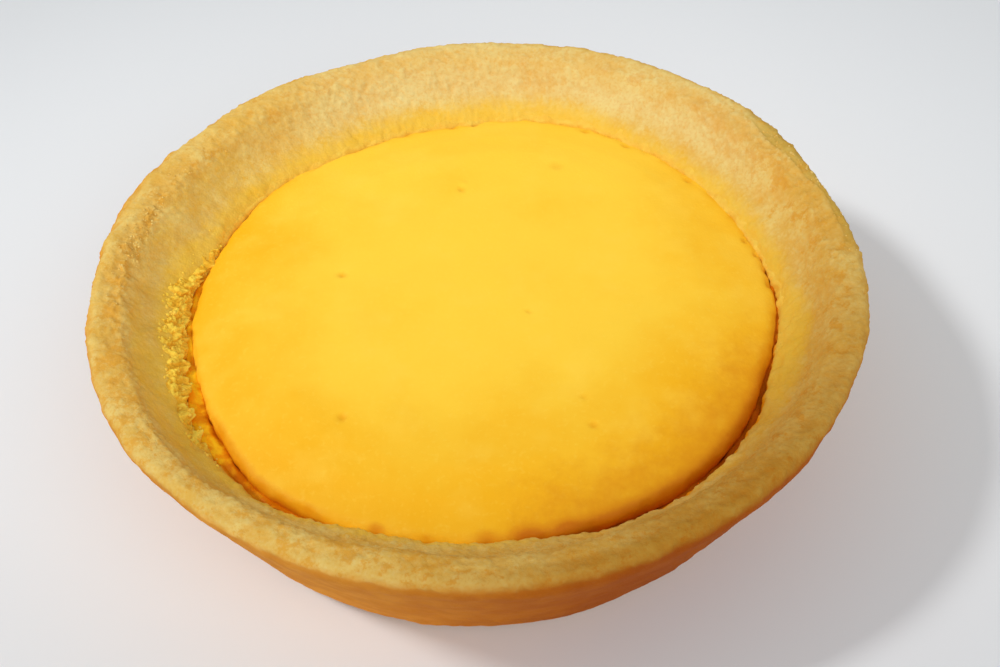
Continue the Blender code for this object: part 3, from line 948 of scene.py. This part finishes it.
CRUMB_SHAPES = 6
CHEESE_CRUMBS = {"count": 70, "seed": 5, "sizes": (0.16 * MM, 0.42 * MM)}
CRUST_CRUMBS = {"count": 150, "seed": 9, "sizes": (0.10 * MM, 0.26 * MM)}
SMALLER = (0.6, 1.0)  # its size is drawn, then drawn smaller,
STRETCH = (0.65, 1.2)  # then stretched along each of its axes,
PRESSED_IN = 0.05  # and this part of it goes into what it lies on
DROPPED_FROM = 30 * MM


def crumb_shapes():
    """A few lumps a metre wide, each a cube that is divided once, rounded and jostled."""
    shapes = []
    for index in range(CRUMB_SHAPES):
        bpy.ops.mesh.primitive_cube_add(size=1.0)
        lump = bpy.context.object
        bpy.ops.object.mode_set(mode="EDIT")
        bpy.ops.mesh.subdivide(number_cuts=1, smoothness=1.0)
        bpy.ops.transform.vertex_random(offset=0.22, seed=index + 1)
        bpy.ops.mesh.normals_make_consistent(inside=False)
        bpy.ops.object.mode_set(mode="OBJECT")
        bpy.ops.object.shade_smooth()
        shapes.append(lump)
    return shapes


def scatter(name, shapes, grounds, place, count, seed, sizes):
    """One piece of so many crumbs that lie on the grounds, at the (radius, azimuth) that place draws."""
    draw = random.Random(seed)
    crumbs = []
    while len(crumbs) < count:
        ring, turn = place(draw)
        start = Vector((ring * math.cos(math.radians(turn)), ring * math.sin(math.radians(turn)), DROPPED_FROM))
        hits = [ground.ray_cast(start, Vector((0, 0, -1)))[:3] for ground in grounds]
        hits = [(spot, normal) for found, spot, normal in hits if found]
        if not hits:
            continue
        spot, normal = max(hits, key=lambda hit: hit[0].z)
        size = draw.uniform(*sizes) * draw.uniform(*SMALLER)
        crumb = draw.choice(shapes).copy()
        crumb.data = crumb.data.copy()
        bpy.context.scene.collection.objects.link(crumb)
        turn_by = Euler([draw.uniform(0, math.tau) for axis in range(3)]).to_matrix().to_4x4()
        stretch = Matrix.Diagonal([size * draw.uniform(*STRETCH) for axis in range(3)] + [1.0])
        crumb.data.transform(Matrix.Translation(spot - normal * size * PRESSED_IN) @ turn_by @ stretch)
        crumbs.append(crumb)
    bpy.ops.object.select_all(action="DESELECT")
    for crumb in crumbs:
        crumb.select_set(True)
    bpy.context.view_layer.objects.active = crumbs[0]
    bpy.ops.object.join()
    crumbs[0].name = crumbs[0].data.name = name
    return crumbs[0]


def crumb_look(name, light, deep, dark, grain_height):
    """Light and deep patches with dark specks."""
    look, tree, shader, baked = new_look(
        name, patch_size=1.6 * MM, grain_size=0.30 * MM, grain_height=grain_height,
        Specular_IOR_Level=0.2, Roughness=0.8)
    colour = mixed(tree, between(tree, baked.outputs["Patches"], 0.38, 0.62), light, deep)
    speck = times(tree, between(tree, baked.outputs["Specks"], 0.62, 0.74), 0.3)
    feed(tree, shader.inputs["Base Color"], mixed(tree, speck, colour, dark))
    return look


def on_left_wall(draw):
    """Most of them are on the torn band, and a few beside the open gap."""
    if draw.random() < 0.85:
        return draw.uniform(33.9, 35.6) * MM, draw.gauss(190, 12)
    return draw.uniform(33.4, 35.6) * MM, draw.gauss(210, 5)


def on_broken_rim(draw):
    """Most of them are on the crease at the left, and the rest along the crack."""
    if draw.random() < 0.6:
        return draw.gauss(39.4, 0.7) * MM, draw.gauss(168, 8)
    return draw.gauss(41.3, 0.5) * MM, draw.gauss(19, 11)


shapes = crumb_shapes()
cheese_crumbs = scatter("cheese_crumbs", shapes, (crust, torn, syrup), on_left_wall, **CHEESE_CRUMBS)
cheese_crumbs.data.materials.append(
    crumb_look("bits of cheese", TORN_PALE, FRINGE_YELLOW, TORN_DEEP, grain_height=0.03 * MM))
crust_crumbs = scatter("crust_crumbs", shapes, (crust,), on_broken_rim, **CRUST_CRUMBS)
crust_crumbs.data.materials.append(
    crumb_look("shortcrust crumbs", PALE_DOUGH, GOLDEN_DOUGH, BROWNED_DOUGH, grain_height=0.05 * MM))
for piece, slot in ((cheese_crumbs, "filling"), (crust_crumbs, "crust")):
    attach(piece, "root")
for shape in shapes:
    bpy.data.objects.remove(shape)

# ---- The floor ----
# A wide, plain, matt surface, almost white, for the tart to stand on. It isn't part of the tart, and rides on
# nothing.

FLOOR_SIZE = 4.0
FLOOR_LOOK = {"Base Color": (0.795, 0.812, 0.825, 1.0), "Roughness": 0.8, "Specular IOR Level": 0.1}

bpy.ops.mesh.primitive_plane_add(size=FLOOR_SIZE, location=(0, 0, 0))
floor = bpy.context.object
floor.name = "floor"
floor_look = bpy.data.materials.new("pale floor")
floor_look.use_nodes = True
for socket, value in FLOOR_LOOK.items():
    floor_look.node_tree.nodes["Principled BSDF"].inputs[socket].default_value = value
floor.data.materials.append(floor_look)

# ---- The light ----
# A bright, even room. A wide soft light in front lights the back wall, and a smaller one at the left makes
# a soft pool that is brightest on the tart's left and falls away to the front right.

ROOM_LIGHT = 0.46
ROOM_COLOUR = (0.97, 0.985, 1.0, 1.0)
ROOM_SEEN = 0.8  # how bright the room looks behind the floor
FRONT_LIGHT = 1.25
FRONT_FROM = (297, 33)  # (azimuth, elevation)
FRONT_SOFTNESS = math.radians(60)
POOL_WATTS = 23.5
POOL_AIM = Vector((-0.028, 0.024, 0.018))
POOL_FROM = (180, 48)
POOL_DISTANCE = 0.7
POOL_RADIUS = 0.09
POOL_SOFTNESS = 0.09  # the lamp's own radius


def towards(azimuth, elevation):
    """The direction at this azimuth and elevation, one metre long."""
    turn, lift = math.radians(azimuth), math.radians(elevation)
    return Vector((math.cos(turn) * math.cos(lift), math.sin(turn) * math.cos(lift), math.sin(lift)))


def light(name, kind, aim, away, **settings):
    """A lamp that stands so far away from what it is aimed at."""
    data = bpy.data.lights.new(name, kind)
    for setting, value in settings.items():
        setattr(data, setting, value)
    lamp = bpy.data.objects.new(name, data)
    lamp.location = aim + away
    lamp.rotation_euler = away.to_track_quat("Z", "Y").to_euler()
    bpy.context.scene.collection.objects.link(lamp)


light("front", "SUN", Vector(), towards(*FRONT_FROM), energy=FRONT_LIGHT, angle=FRONT_SOFTNESS)
light("pool", "SPOT", POOL_AIM, towards(*POOL_FROM) * POOL_DISTANCE, energy=POOL_WATTS,
      shadow_soft_size=POOL_SOFTNESS, spot_blend=1.0, spot_size=2 * math.atan(POOL_RADIUS / POOL_DISTANCE))

world = bpy.data.worlds.new("room")
world.use_nodes = True
room = world.node_tree
seen = room.nodes.new("ShaderNodeMix")
room.links.new(room.nodes.new("ShaderNodeLightPath").outputs["Is Camera Ray"], seen.inputs[0])
seen.inputs[2].default_value = ROOM_LIGHT
seen.inputs[3].default_value = ROOM_SEEN
room.links.new(seen.outputs[0], room.nodes["Background"].inputs["Strength"])
room.nodes["Background"].inputs["Color"].default_value = ROOM_COLOUR
bpy.context.scene.world = world
bpy.context.scene.view_settings.view_transform = "Standard"

# ---- The camera ----
# It looks down on the tart from close by, along +Y, turned a little to one side. Its place and its lens were
# fitted to the rim, to the filling's edge and to the base.

CAMERA_PLACE = Vector((2.32, -104.67, 119.01)) * MM
CAMERA_ELEVATION = math.radians(46.46)
CAMERA_ROLL = math.radians(-2.81)
CAMERA_LENS = 46.8
CAMERA_CLIP = 5 * MM

camera_data = bpy.data.cameras.new("camera")
camera_data.lens = CAMERA_LENS
camera_data.clip_start = CAMERA_CLIP
camera = bpy.data.objects.new("camera", camera_data)
camera.matrix_world = (
    Matrix.Translation(CAMERA_PLACE)
    @ Matrix.Rotation(math.pi / 2 - CAMERA_ELEVATION, 4, "X")
    @ Matrix.Rotation(CAMERA_ROLL, 4, "Z")
)
bpy.context.scene.collection.objects.link(camera)
bpy.context.scene.camera = camera
